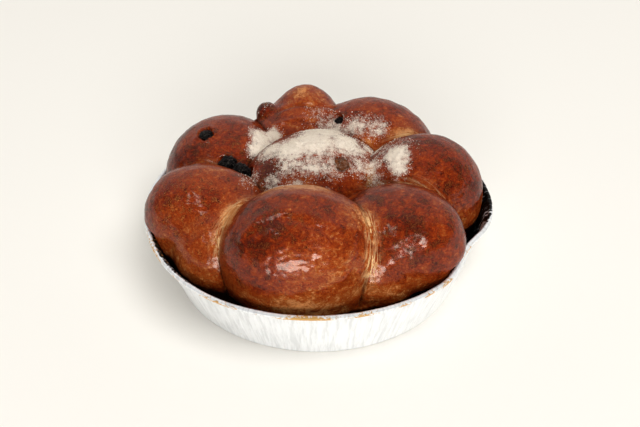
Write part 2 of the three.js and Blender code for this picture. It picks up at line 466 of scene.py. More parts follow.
def softest(parts, soft):
    # the lowest of several distances, blended where they are close
    lowest = np.min(parts, axis=0)
    return lowest - soft * np.log(sum(np.exp(-(part - lowest) / soft) for part in parts))


def bunDistances(points):
    distances = []
    for names in families:
        soft = dough["backFamily" if "back" in names else "family"]
        distances.append(softest([bunDistance(points, buns[name]) for name in names], soft))
    return distances


def closeTo(points, place, size):
    # 1 at a place, and less and less over that size round it
    away = ((points - np.array(place)) ** 2).sum(axis=1)
    return np.exp(-away / size ** 2)


# Where two buns run into each other softly, with no dark crease: place, reach, how much softer.
softSeams = {
    "frontLeftUpper": (-47, -44, 71, 15, 2.6),
    "frontRightUpper": (24, -60, 76, 13, 1.6),
    "backLeftCentre": (-38, 32, 66, 14, 1.4),
    "rightCentre": (34, 4, 70, 12, 1.0),
    "backRightRight": (58, 38, 72, 14, 1.4),
    "rightFront": (68, -20, 70, 14, 0.8),
    "leftBack": (-76, 18, 64, 12, 0.8),
    "backSeam": (14, 60, 73, 15, 3.0),
    "knob": (-30, 66, 70, 8, 2.4),
}


def doughDistance(points):
    soft = dough["seam"]
    for x, y, z, size, more in softSeams.values():
        soft = soft + more * closeTo(points, (x, y, z), size)
    surface = softest(bunDistances(points) + [footDistance(points)], soft)
    limit = panDistance(points)
    rounding = np.maximum(dough["edge"] - np.abs(surface - limit), 0) ** 2 / (4 * dough["edge"])
    return np.maximum(surface, limit) + rounding


def fieldSlope(points, field, step=0.05):
    # which way the field rises at each point, and how steeply
    slope = np.zeros_like(points)
    for corner in ((1, -1, -1), (-1, -1, 1), (-1, 1, -1), (1, 1, 1)):
        corner = np.array(corner)
        slope += field(points + step * corner)[:, None] * corner
    return slope / (4 * step)


def settleOnto(points, field, rounds):
    # moves each point onto the surface where the field is 0
    for _ in range(rounds):
        slope = fieldSlope(points, field)
        steep = np.maximum((slope ** 2).sum(axis=1), 0.05)
        move = field(points) / steep
        points = points - np.clip(move, -3, 3)[:, None] * slope
    return points


def meshPoints(bm):
    return np.array([vertex.co[:] for vertex in bm.verts]) / mm


def movePoints(bm, points):
    for vertex, point in zip(bm.verts, points * mm):
        vertex.co = point


def roughLoaf():
    # one ball for each bun and a disc for the dough below them, made one skin
    bm = bmesh.new()
    for name, bun in buns.items():
        ball = bmesh.ops.create_icosphere(bm, subdivisions=5 if bun["deep"] > 10 else 3, radius=1)
        middle, turn = bunFrame(bun)
        for vertex in ball["verts"]:
            co = vertex.co
            across = math.hypot(co.x, co.y)
            if co.z < 0 and across > 1e-6:
                fuller = max(1 - (-co.z) ** bun["full"], 0) ** (1 / bun["full"]) / across
                co.x *= fuller
                co.y *= fuller
            swollen = Vector((co.x * bun["deep"], co.y * bun["wide"], co.z * bun["tall"]))
            vertex.co = (turn @ swollen + middle) * mm
    foot = bmesh.ops.create_cone(bm, cap_ends=True, segments=96, radius1=dough["footRadius"] * mm,
                                 radius2=dough["footRadius"] * mm, depth=28 * mm)
    bmesh.ops.translate(bm, verts=foot["verts"], vec=(0, 0, 16 * mm))
    core = bmesh.ops.create_cone(bm, cap_ends=True, segments=64, radius1=dough["footRadius"] * 0.8 * mm,
                                 radius2=dough["footCore"] * mm, depth=30 * mm)
    bmesh.ops.translate(bm, verts=core["verts"], vec=(0, 0, 34 * mm))
    rough = linkMesh("roughLoaf", bm, crust)
    remesh = rough.modifiers.new("skin", "REMESH")
    remesh.mode = "VOXEL"
    remesh.voxel_size = dough["voxel"] * mm
    seen = bpy.context.evaluated_depsgraph_get()
    skin = bmesh.new()
    skin.from_mesh(rough.evaluated_get(seen).to_mesh())
    bpy.data.objects.remove(rough)
    return skin


# Raisins: the middle of each, its half sizes, its turn and tip, and the opening that it has torn in
# the crust: how wide and deep it is, and how high its lip stands.
raisins = {
    "raisin_seam_left": {"place": (-54.8, 12, 66), "size": (5.4, 5.6, 4.8), "turn": 30, "tip": -10,
                         "pit": 5.2, "depth": 4.5, "lip": 0.3},
    "raisin_seam_right": {"place": (-46.4, 2, 67), "size": (5.6, 5.2, 4.8), "turn": -20, "tip": 12,
                          "pit": 5.2, "depth": 4.5, "lip": 0.3},
    "raisin_back_left": {"place": (-69.3, 34.4, 73.2), "size": (4.2, 3.8, 3), "turn": 15, "tip": 8,
                         "pit": 4.4, "depth": 3.4, "lip": 0.9},
    "raisin_back_seam": {"place": (14.4, 53.2, 71.9), "size": (3.2, 2.8, 2.6), "turn": 60, "tip": 0,
                         "pit": 3.2, "depth": 2.5, "lip": 0.5},
    "raisin_centre": {"place": (14.5, -5.2, 77.4), "size": (4.8, 3.8, 3.2), "turn": 5, "tip": 14,
                      "pit": 4.8, "depth": 3.0, "lip": 0.3},
}

# Dents and swellings of the crust: where, how wide, and how far up or down.
swellings = {
    "frontBulge": (5, -90, 69, 12, 1.3),
    "raisinHollow": (-50, 1, 67, 7, -2.6),
    "raisinHollowLeft": (-56, 6, 66, 5, -1.6),
    "frontUnderBulge": (14, -90, 58, 4.5, 1.2),
    "frontGolden": (18, -64, 83, 9, 0.8),
    "frontDot": (-11, -96, 44, 1.4, -0.9),
    "leftDimple": (-88, -39, 44, 5, -0.9),
    "leftDimpleLow": (-86, -40, 37, 4, -0.4),
    "leftSwelling": (-65, -46, 60, 7, 0.9),
    "leftPit": (-84, 21, 60, 1.8, -1.2),
    "leftHole": (-82, 0, 72, 1.4, -0.9),
    "centrePit": (-24, -5, 78, 1.6, -1.4),
    "centreUnder": (15, -12, 76, 4, -1.6),
    "centreCrown": (0, 8, 85, 16, 0.8),
    "rightTop": (78, 2, 81, 10, 0.7),
    "frontRightRing": (42, -77, 59, 6, 0.9),
    "frontRightSmall": (45, -71, 70, 4, 0.6),
    "backFold": (-11, 57, 78, 6, 0.8),
    "backRightRough": (32, 34, 70, 7, 0.8),
}

# Low folds in the skin: points along each, its width and its rise.
skinFolds = {
    "browLeft": ([(-42, -74, 74), (-38, -73, 80), (-31, -69, 85), (-22, -68, 89), (-13, -71, 89)], 3.2, 0.7),
    "browRight": ([(-7, -72, 89), (0, -74, 87), (10, -76, 83), (21, -73, 77)], 3.0, 0.7),
    "underBrow": ([(-37, -77, 76), (-29, -74, 83), (-20, -74, 87), (-8, -77, 87), (4, -80, 83), (15, -81, 77)],
                  2.4, -0.6),
    "frontTop": ([(-36, -56, 85), (-21, -58, 91), (0, -59, 91), (14, -58, 88)], 3.0, 0.5),
    "seamRidge": ([(20, -51, 81), (27, -64, 75), (30, -73, 66), (28, -80, 58)], 1.3, 1.3),
    "seamRidgeInner": ([(18, -58, 83), (24, -70, 75), (26, -79, 63)], 1.2, 0.6),
    "leftSeamRidge": ([(-44, -30, 70), (-48, -40, 70), (-52, -48, 65), (-57, -54, 57)], 1.6, 0.9),
    "leftSeamRidgeOuter": ([(-50, -38, 67), (-57, -47, 61), (-62, -53, 54)], 1.2, 0.5),
    "crownGroove": ([(-28, 61, 75), (-18, 62, 78), (-9, 62.5, 79), (2, 63.5, 78.5), (11, 66, 75)], 1.3, -1.5),
    "crownFold": ([(-28, 57, 76), (-14, 58, 78), (-2, 58, 78), (8, 60, 76)], 2.0, 1.0),
    "crownFoldLow": ([(-26, 49, 73), (-10, 50, 76), (6, 50, 75)], 1.6, 0.9),
    "rightBand": ([(46, 24, 78), (56, 38, 73), (68, 47, 68)], 2.2, 0.6),
    "rightFrontLine": ([(52, -25, 76), (64, -22, 71), (73, -20, 65), (84, -19, 55)], 1.1, 0.6),
    "centreFront": ([(-28, -16, 70), (-10, -20, 73), (2, -22, 74)], 1.6, 0.7),
}

# Where the crust is paler or darker than the rest: place, width, and the change in baking.
tints = {
    "domeGold": (-7, 72, 82, 17, -0.42),
    "frontBulge": (3, -90, 70, 12, -0.26),
    "frontGolden": (19, -62, 82, 9, -0.45),
    "frontOlive": (17, -86, 64, 7, -0.22),
    "frontDark": (-25, -77, 83, 10, 0.3),
    "frontDarkLow": (-30, -84, 70, 15, 0.16),
    "frontLow": (-8, -96, 46, 26, -0.2),
    "frontBottom": (0, -98, 41, 26, -0.16),
    "frontSpots": (14, -90, 57, 2.2, 0.3),
    "frontRear": (-10, -44, 89, 9, -0.85),
    "frontRearLeft": (-25, -41, 86, 9, -0.85),
    "frontRearRight": (4, -45, 89, 8, -0.55),
    "leftFuzz": (-65, -51, 57, 9, -0.3),
    # painted shade: darker in the left bun's dimple
    "leftDimple": (-88, -39, 43, 4, 0.3),
    "leftGold": (-83, -41, 43, 4, -0.32),
    "leftLow": (-70, -55, 42, 14, -0.1),
    # painted light from above: the left bun's top paler
    "leftTopLit": (-66, -8, 77, 17, -0.2),
    "leftRight": (-62, -36, 66, 9, 0.2),
    "leftSeamPale": (-50, -49, 70, 8, -0.65),
    "rightSeamPale": (28, -72, 66, 6, -0.25),
    "backLeftRight": (-54, 25, 67, 13, 0.2),
    "backLeft": (-75, 35, 66, 20, 0.08),
    "rightFlank": (72, 2, 68, 22, 0.2),
    "frontRight": (48, -66, 72, 15, 0.2),
    "frontRightFar": (70, -50, 66, 14, 0.08),
    "rightSeamGold": (84, -18, 55, 7, -0.3),
    "backRightRough": (33, 33, 70, 8, -0.35),
    "frontRightLow": (40, -78, 44, 16, -0.12),
    "clumpGold": (-27, 42, 68, 6, -0.3),
    "centreDark": (-28, -8, 75, 11, 0.3),
    "rightBand": (58, 38, 73, 9, -0.35),
    "frontRightRing": (42, -76, 59, 5, -0.15),
    "knob": (-34, 68, 74, 7, 0.5),
}

# Golden threads where the dough stretched between two buns: place, reach, strength.
seamThreads = {
    "frontLeft": (-47, -44, 72, 16, 1.25),
    "frontLeftLow": (-58, -54, 57, 9, 0.9),
    "frontRight": (26, -64, 75, 13, 1.0),
    "frontRightLow": (29, -79, 59, 10, 1.0),
    "centreFront": (-14, -19, 72, 13, 0.8),
    "rightFront": (66, -21, 70, 16, 0.75),
    "rightBack": (58, 37, 73, 15, 0.8),
    "leftBack": (-76, 18, 64, 14, 0.6),
    "rightCentre": (35, -4, 69, 10, 0.5),
}

# Powdered sugar: place, width, amount.
sugarFall = {
    "crown": (-1, 9, 86, 22, 1.0),
    "crownLeft": (-16, 4, 83, 17, 1.0),
    "crownRight": (18, 13, 81, 17, 1.0),
    "crownFar": (4, 24, 82, 20, 1.0),
    "crownFront": (-4, -10, 82, 14, 0.66),
    "crownFrontLeft": (-15, -7, 80, 14, 0.66),
    "crownFrontRight": (8, -10, 80, 14, 0.55),
    "crownEdge": (24, -2, 76, 12, 0.6),
    "crownDrift": (-27, 10, 76, 13, 0.9),
    "clumpy": (-35, 37, 69, 12, 1.0),
    "clumpyLow": (-36, 26, 67, 11, 1.0),
    "clumpyFar": (-28, 42, 68, 9, 0.9),
    "seamLeft": (-27, -15, 71, 9, 0.5),
    "seamMiddle": (-12, -19, 73, 8, 0.45),
    "seamLeftFar": (-40, -5, 67, 9, 0.35),
    "seamLeftEdge": (-42, -16, 72, 9, 0.3),
    "rightPatch": (48, 1, 81, 11, 1.0),
    "rightPatchLow": (49, -6, 78, 10, 0.9),
    "rightLight": (46, 6, 80, 18, 0.4),
    "backRight": (24, 42, 75, 13, 0.62),
    "backRightFar": (36, 40, 76, 12, 0.5),
    "backSeam": (12, 47, 70, 11, 0.7),
    "backLight": (2, 50, 75, 16, 0.36),
    "creviceRight": (34, 2, 71, 10, 0.6),
    "creviceLow": (37, -9, 68, 10, 0.5),
    "creviceFar": (32, 20, 72, 12, 0.6),
    "frontRear": (-20, -34, 84, 12, 0.4),
    "knob": (-35, 68, 74, 8, 0.25),
}

# How high the painted shade, black, reaches up the loaf's side where it goes down into the pan: degrees round
# the pan, mm.
gapShadeLine = [(-180, 35), (-150, 35), (-138, 32), (-122, 30.5), (-106, 31), (-90, 32), (-74, 30), (-60, 34.5),
            (-45, 35), (0, 36), (180, 35)]

# Baking: 0 is the palest crust and 1 the darkest. Heights are in mm.
baking = {
    "crust": 0.82,
    # painted light from above: the crust is paler the more it faces upward
    "topLitPaler": 0.1,
    "shieldedPaler": 0.16, "shieldedBelow": 58, "shieldedOver": 18,      # where the pan shields it
    "lowPaler": 0.16, "lowBelow": 51, "lowOver": 7,
    "stretchedPaler": 0.5,
    "tornDarker": 0.25,
}


def alongLine(points, line):
    # distance of each point from a line through several places
    nearest = np.full(len(points), 1e3)
    for start, end in zip(line, line[1:]):
        start, end = np.array(start, float), np.array(end, float)
        share = np.clip(((points - start) @ (end - start)) / ((end - start) ** 2).sum(), 0, 1)
        nearest = np.minimum(nearest, np.linalg.norm(points - start - share[:, None] * (end - start), axis=1))
    return nearest


def noiseOver(points, size, shift=0.0, stretch=(1, 1, 1)):
    places = points * np.array(stretch) / size + shift
    return np.array([noise.noise(Vector(place)) for place in places])


def skinRelief(points):
    # slow lumps, then the named swellings and folds
    rise = 0.5 * noiseOver(points, 17) + 0.3 * noiseOver(points, 7, 9)
    rise += 0.2 * noiseOver(points, 3.4, 4, (1, 1, 1.6))
    for name, (x, y, z, size, height) in swellings.items():
        share = closeTo(points, (x, y, z), size)
        rise += height * (1 - (1 - share) ** 3 if name == "frontBulge" else share)
    wave = 1 + 0.5 * noiseOver(points, 6, 30)
    for line, width, height in skinFolds.values():
        rise += height * wave * np.exp(-(alongLine(points, line) / width) ** 2)
    return rise


def stretchOver(points):
    # how much the dough is stretched into threads
    share = np.zeros(len(points))
    for x, y, z, size, strength in seamThreads.values():
        share = np.maximum(share, strength * closeTo(points, (x, y, z), size))
    return share


def sugarOver(points, upward):
    sugar = np.zeros(len(points))
    for x, y, z, size, amount in sugarFall.values():
        away = np.sqrt(((points - np.array((x, y, z))) ** 2).sum(axis=1))
        sugar = np.maximum(sugar, amount * np.clip(1.2 - 1.2 * (away / size) ** 1.4, 0, 1))
    sugar *= np.clip(0.35 + 0.9 * upward, 0, 1)         # less on steep crust
    drift = 0.4 * noiseOver(points, 9, 60) + 0.3 * noiseOver(points, 3.5, 40)
    return np.clip(sugar + 2 * sugar * (1.1 - sugar) * drift, 0, 1)


def tornByRaisins(points, normals):
    # how far the crust sinks round each raisin, with a lip, and how torn it is
    rise, torn = np.zeros(len(points)), np.zeros(len(points))
    ragged = noiseOver(points, 3.2, 70)
    for raisin in raisins.values():
        offset = points - np.array(raisin["place"])
        inward = (offset * normals).sum(axis=1)
        away = np.sqrt(np.maximum((offset ** 2).sum(axis=1) - inward ** 2, 0))
        near = np.abs(inward) < 12
        share = away / raisin["pit"] * (1 + 0.35 * ragged)
        rise -= raisin["depth"] * np.exp(-share ** 6) * near
        rise += raisin["lip"] * np.exp(-((share - 1.3) / 0.22) ** 2) * near
        torn = np.maximum(torn, np.exp(-share ** 4) * near)
    return rise, torn


def bakeOver(points, upward, pale, torn):
    height = points[:, 2]
    # painted light from above: paler where the crust faces upward
    bake = baking["crust"] - baking["topLitPaler"] * upward
    for part in ("shielded", "low"):
        depth = np.clip((baking[part + "Below"] - height) / baking[part + "Over"], 0, 1)
        bake -= baking[part + "Paler"] * depth
    bake -= baking["stretchedPaler"] * pale
    for x, y, z, size, change in tints.values():
        bake += change * closeTo(points, (x, y, z), size)
    return bake + baking["tornDarker"] * torn


def gapShadeOver(points):
    # painted shade, black, low on the loaf's side where it goes down into the gap by the foil
    around = np.degrees(np.arctan2(points[:, 1], points[:, 0]))
    edge = np.interp(around, *zip(*gapShadeLine)) + 1.2 * noiseOver(points, 6, 90)
    return np.clip((edge - points[:, 2]) / 1.2, 0, 1)


def settledLoaf():
    # the rough loaf's skin on the true shape, finer where it shows
    bm = roughLoaf()
    smooth = {"factor": 0.5, "use_axis_x": True, "use_axis_y": True, "use_axis_z": True}
    movePoints(bm, settleOnto(meshPoints(bm), doughDistance, 3))
    bmesh.ops.smooth_vert(bm, verts=bm.verts, **smooth)
    movePoints(bm, settleOnto(meshPoints(bm), doughDistance, 2))
    line = dough["shownAbove"] * mm
    shown = [edge for edge in bm.edges if min(vertex.co.z for vertex in edge.verts) > line]
    bmesh.ops.subdivide_edges(bm, edges=shown, cuts=1, use_grid_fill=True)
    movePoints(bm, settleOnto(meshPoints(bm), doughDistance, 2))
    bmesh.ops.smooth_vert(bm, verts=bm.verts, **smooth)
    points = settleOnto(meshPoints(bm), doughDistance, 3)
    print("loaf settled,", len(points), "points")
    return bm, points


def makeLoaf():
    bm, points = settledLoaf()
    normals = fieldSlope(points, doughDistance)
    normals /= np.linalg.norm(normals, axis=1)[:, None] + 1e-9
    upward = normals[:, 2]
    ranked = np.sort(np.array(bunDistances(points)), axis=0)
    gap = ranked[1] - ranked[0]                   # mm from the seam between two buns, about
    x, y, z = points.T

    sugar = sugarOver(points, upward)
    sunk, torn = tornByRaisins(points, normals)
    stretch = stretchOver(points)
    pale = stretch * np.exp(-(gap / 8) ** 2)
    stretch = stretch * np.exp(-(gap / 4.2) ** 2)
    ridges = np.array([noise.noise(Vector(place)) for place in zip(gap / 1.1, x / 14, z / 14)])
    # the seam's crease is cut a little deeper, and its shade is painted into the crust's colour
    creaseShade = np.exp(-gap ** 2) * np.clip(1 - 1.6 * stretch, 0, 1) * (1 - 0.5 * sugar)
    creaseShade *= 1 - closeTo(points, (14, 60, 73), 14)      # none where the back bun runs into the next

    rise = skinRelief(points) + 0.8 * stretch * ridges + sunk - 0.9 * creaseShade
    rise += 0.5 * sugar ** 2 * (0.6 + noiseOver(points, 2.2, 50))
    rise *= np.clip(-panDistance(points) / 2.0, 0, 1)    # nothing moves where the foil holds the loaf
    movePoints(bm, points + rise[:, None] * normals)
    bmesh.ops.triangulate(bm, faces=bm.faces)
    bmesh.ops.recalc_face_normals(bm, faces=bm.faces)
    loaf = linkMesh("loaf", bm, crust)

    fibre = 0.4 + 0.3 * noiseOver(points, 20, 80) + 1.2 * closeTo(points, (-78, -40, 55), 26)
    paint(loaf, "bake", bakeOver(points, upward, pale, torn))
    paint(loaf, "sugar", sugar)
    # painted shade: in the creases, and black low on the side by the foil
    paint(loaf, "creaseShade", np.maximum(0.85 * creaseShade, gapShadeOver(points)))
    paint(loaf, "fibre", np.clip(fibre, 0, 1))
    paint(loaf, "gap", gap)
    paint(loaf, "threads", np.clip(1.3 * stretch, 0, 1))
    print("loaf:", len(loaf.data.polygons), "triangles")
    return loaf


loaf = makeLoaf()
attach(loaf, "root")
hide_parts("bread")

raisinLook = {
    "skin": (4, 3, 4),
    "shine": (11, 8, 9),
    "dusty": (112, 62, 32),
    "dust": 0.11,          # how much sugar lies on a dark raisin
    "moreDust": 0.26,      # and on the dusted one
    "wrinkle": 620.0,
}


def makeRaisinSkin(name, sugared, colour):
    material, tree, shader = newMaterial(name)
    mottle = spread(tree, noiseAt(tree, objectPlace(tree), 400.0, 3.0), 0.45, 0.75)
    shown = blendColours(tree, mottle, tone(*colour), tone(*raisinLook["shine"]))
    grains = useGroup(tree, sugarDust, Amount=sugared, Grain=1500.0)
    shown = blendColours(tree, grains.outputs["Cover"], shown, tone(*crustLook["sugar"]))
    plug(tree, shown, shader.inputs["Base Color"])
    plug(tree, spread(tree, grains.outputs["Cover"], 0.0, 1.0, 0.3, 0.9), shader.inputs["Roughness"])
    shader.inputs["Specular IOR Level"].default_value = 0.16
    folds = useGroup(tree, fineWrinkles, Scale=raisinLook["wrinkle"], Upright=1.0)
    normal = bumpFrom(tree, folds.outputs["Height"], 0.0003, 0.8)
    normal = bumpFrom(tree, grains.outputs["Height"], 0.0004, 1.0, normal)
    plug(tree, normal, shader.inputs["Normal"])
    return material


darkRaisin = makeRaisinSkin("raisinSkin", raisinLook["dust"], raisinLook["skin"])
dustyRaisin = makeRaisinSkin("raisinDusted", raisinLook["moreDust"], raisinLook["dusty"])


def makeRaisin(name, raisin, material):
    # a ball with deep and fine wrinkles, lumpy as a whole
    bm = bmesh.new()
    bmesh.ops.create_icosphere(bm, subdivisions=6, radius=1)
    place = Vector(raisin["place"])
    for vertex in bm.verts:
        co = vertex.co
        size = 1.08 + 0.26 * noise.noise(co * 1.5 + place)
        size -= 0.2 * math.exp(-(noise.noise(co * 1.9 + place * 2) / 0.1) ** 2)
        size -= 0.09 * math.exp(-(noise.noise(co * 4.2 - place) / 0.12) ** 2)
        size += 0.09 * math.sin(5 * co.x + 2 * place.x) * math.cos(4 * co.y + place.y)
        vertex.co = Vector([part * half for part, half in zip(co, raisin["size"])]) * size
    tip = Matrix.Rotation(math.radians(raisin["tip"]), 4, "Y")
    turn = Matrix.Rotation(math.radians(raisin["turn"]), 4, "Z") @ tip
    bmesh.ops.transform(bm, matrix=Matrix.Scale(mm, 4) @ Matrix.Translation(place) @ turn, verts=bm.verts)
    return linkMesh(name + "_skin", bm, material)


shiny = [loaf]
for name, raisin in raisins.items():
    dusted = name == "raisin_centre"
    berry = makeRaisin(name, raisin, dustyRaisin if dusted else darkRaisin)
    shiny.append(berry)
    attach(berry, "root")
    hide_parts(name)
print("raisins made")

foilLook = {
    "metal": (251, 253, 255),
    "tarnish": (230, 232, 234),
    "stain": (216, 168, 102),
    # black of the baked-on film inside the pan, which also paints the shade there
    "filmShade": (5, 4, 3),
    "roughness": 0.36,
    "metallic": 0.6,
    "bump": 0.0005,        # in metres
}
# Baked-on drips just below the rim: degrees round the pan, spread, strength.
drips = {
    "front": (-93, 9, 1.0),
    "frontRight": (-76, 5, 0.7),
    "frontMore": (-63, 3, 0.6),
    "rightLow": (-54, 3, 0.6),
    "right": (-46, 4, 0.7),
    "rightFar": (-28, 6, 0.5),
    "frontLeft": (-122, 8, 0.6),
    "leftLow": (-140, 6, 0.4),
    "left": (-158, 12, 0.7),
    "back": (95, 14, 0.5),
    "backLeft": (150, 9, 0.4),
    "backRight": (35, 8, 0.4),
}


def makeFoil(name, inside):
    look = foilLook
    material, tree, shader = newMaterial(name)
    brushed = useGroup(tree, foilGrain, Scale=700.0).outputs["Grain"]
    upright = useGroup(tree, foilGrain, Scale=420.0, Detail=4.0, Rough=0.65).outputs["Grain"]
    tarnished = spread(tree, upright, 0.42, 0.66)
    stained = useGroup(tree, foilStain, Stain=painted(tree, "stain")).outputs["Cover"]
    colour = blendColours(tree, tarnished, tone(*look["metal"]), tone(*look["tarnish"]))
    colour = blendColours(tree, stained, colour, tone(*look["stain"]))
    shader.inputs["Metallic"].default_value = look["metallic"]
    if inside:
        # dark baked-on film and painted shade, with bare flecks along the pleats
        pleats = useGroup(tree, foilGrain, Scale=520.0, Along=0.25).outputs["Grain"]
        fleck = sums(tree, "SUBTRACT", sums(tree, "ADD", pleats, painted(tree, "bare")), 0.5)
        filmShaded = spread(tree, fleck, 0.1, 0.22, 1.0, 0.0)
        colour = blendColours(tree, filmShaded, colour, tone(*look["filmShade"]))
        clean = sums(tree, "SUBTRACT", look["metallic"], sums(tree, "MULTIPLY", filmShaded, look["metallic"]))
        plug(tree, clean, shader.inputs["Metallic"])
        shader.inputs["Specular IOR Level"].default_value = 0.08
    plug(tree, colour, shader.inputs["Base Color"])
    smooth, rough = look["roughness"] - 0.06, look["roughness"] + 0.12
    plug(tree, spread(tree, brushed, 0.3, 0.7, smooth, rough), shader.inputs["Roughness"])
    plug(tree, bumpFrom(tree, brushed, look["bump"], 0.8), shader.inputs["Normal"])
    return material


foil = makeFoil("bakedFoil", False)
foilInside = makeFoil("bakedFoilInside", True)


def panProfile():
    # radius and height of the foil's middle, from the centre of its base to the inside of its rolled rim
    half = pan["cadFoil"] / 2
    panel, raised = pan["panelRadius"], pan["panelRise"]
    profile = [(0.0, raised + half), (panel * 0.5, raised + half), (panel - 0.5, raised + half),
               (panel + 0.6, raised * 0.75 + half), (panel + 1.8, half), (72.0, half)]
    size = pan["corner"] - half
    for step in range(5):
        turn = math.radians(-90 + 72 * step / 4)
        profile.append((pan["baseRadius"] - pan["corner"] + size * math.cos(turn),
                        pan["corner"] + size * math.sin(turn)))
    low, top, rows = pan["corner"] + 1, pan["height"] - 2 * pan["bead"], 15
    for row in range(rows):
        height = low + (top - low) * row / (rows - 1)
        profile.append((pan["baseRadius"] + wallSlope * (height - pan["corner"]) - half, height))
    size = pan["bead"] - 0.15
    for step in range(12):
        turn = math.radians(205 - 300 * step / 11)
        profile.append((pan["rimRadius"] + pan["bead"] + size * math.cos(turn),
                        pan["height"] - pan["bead"] + size * math.sin(turn)))
    return profile


def spunPan():
    # one wedge of the profile's turn, doubled until it goes all the way round
    bm = bmesh.new()
    line = [bm.verts.new((radius * mm, 0, height * mm)) for radius, height in panProfile()]
    edges = [bm.edges.new(pair) for pair in zip(line, line[1:])]
    middle, upwards, wedge = (0, 0, 0), (0, 0, 1), math.tau / pan["wedges"]
    steps = pan["around"] // pan["wedges"]
    bmesh.ops.spin(bm, geom=line + edges, cent=middle, axis=upwards, angle=wedge, steps=steps)
    made = 1
    while made < pan["wedges"]:
        copied = bmesh.ops.duplicate(bm, geom=bm.verts[:] + bm.edges[:] + bm.faces[:])
        copies = [part for part in copied["geom"] if isinstance(part, bmesh.types.BMVert)]
        bmesh.ops.rotate(bm, verts=copies, cent=middle, matrix=Matrix.Rotation(wedge * made, 3, "Z"))
        made *= 2
    bmesh.ops.remove_doubles(bm, verts=bm.verts, dist=1e-6)
    bmesh.ops.recalc_face_normals(bm, faces=bm.faces)
    # the wall has to face outwards, before it gets its thickness
    sample = next(face for face in bm.faces if 20 * mm < face.calc_center_median().z < 24 * mm)
    if sample.normal.dot(sample.calc_center_median() * Vector((1, 1, 0))) < 0:
        bmesh.ops.reverse_faces(bm, faces=bm.faces)
    return bm


def crumpled(x, y, z, ring):
    # the pleated, buckled and settled foil
    radius = np.hypot(x, y) + 1e-9
    wall = np.clip((z - 4) / 6, 0, 1)
    rim = np.clip((z - 40.5) / 1.5, 0, 1)
    pleats = noiseOver(ring, 1 / pan["pleat"])
    soft = noiseOver(np.stack([x, y, z * 0.6], axis=1), 11, 3)
    push = wall * (pan["pleatDepth"] * pleats * (1 - 0.55 * rim) + pan["buckle"] * soft * (1 - 0.6 * rim))
    uneven = (1 - wall) * 0.12 * noiseOver(np.stack([x, y, z], axis=1), 14, 7)
    inwards, lift = settleShare(x, y, z)
    grown = (radius + push - inwards) / radius
    return np.stack([x * grown, y * grown, z + lift + np.maximum(uneven, -0.05)], axis=1)


def makePan():
    bm = spunPan()
    x, y, z = meshPoints(bm).T
    around = np.degrees(np.arctan2(y, x))
    radius = np.hypot(x, y) + 1e-9
    ring = np.stack([x / radius * 97, y / radius * 97, z * 0.05], axis=1)     # the same all the way up the wall
    movePoints(bm, crumpled(x, y, z, ring))
    shell = linkMesh("foilPan", bm, foil)

    stain = np.zeros(len(z))
    for at, size, strength in drips.values():
        turn = (around - at + 180) % 360 - 180
        stain = np.maximum(stain, strength * np.exp(-(turn / size) ** 2))
    stain *= np.exp(-((z - 41.5) / 2.6) ** 2)
    paint(shell, "stain", np.maximum(stain, 0.25 * np.exp(-((z - 41) / 2) ** 2)))
    # the dark film and painted shade reach onto the rolled rim, and further where the loaf rises over it
    rightward = np.exp(-((around - 4) / 22) ** 2)
    leftward = np.exp(-((around + 148) / 24) ** 2)
    reach = -0.7 + 2.6 * rightward + 1.8 * leftward
    edge = pan["rimRadius"] + pan["bead"] * reach + 0.6 * noiseOver(ring, 2.0, 11)
    bare = np.clip((radius - edge) / 0.8 + 0.3, 0, 1) * (z > 38)
    flecks = 0.13 * np.exp(-((around + 12) / 8) ** 2) * np.clip((z - 26) / 4, 0, 1)
    flecks += 0.1 * leftward * np.clip((z - 39) / 2, 0, 1)
    paint(shell, "bare", 0.42 * bare + flecks + 0.25 * (z < 6))
    shell.data.materials.append(foilInside)
    wallThickness = shell.modifiers.new("foil", "SOLIDIFY")
    wallThickness.thickness = pan["foil"] * mm
    wallThickness.offset = -1
    wallThickness.material_offset = 1
    wallThickness.material_offset_rim = 0
    return shell


foilPan = makePan()
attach(foilPan, "root")
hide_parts("foil_pan")
print("foil pan made")

# Grains of sugar that stand up from the crust.
sugarLook = {
    "count": 8500,
    "small": 0.09, "large": 0.24,      # radii in mm
    "clump": 1.8, "clumps": 0.08,      # how much larger a few are, and what share of them
    "scatter": 0.6,                    # mm to the side of its place
    "white": (250, 244, 232),
    "toasted": (236, 218, 194),
    "seed": 7,
}


def makeSugarSkin():
    material, tree, shader = newMaterial("sugarGrains")
    mottle = noiseAt(tree, objectPlace(tree), 900.0, 2.0)
    shown = blendColours(tree, mottle, tone(*sugarLook["white"]), tone(*sugarLook["toasted"]))
    plug(tree, shown, shader.inputs["Base Color"])
    shader.inputs["Roughness"].default_value = 0.7
    return material


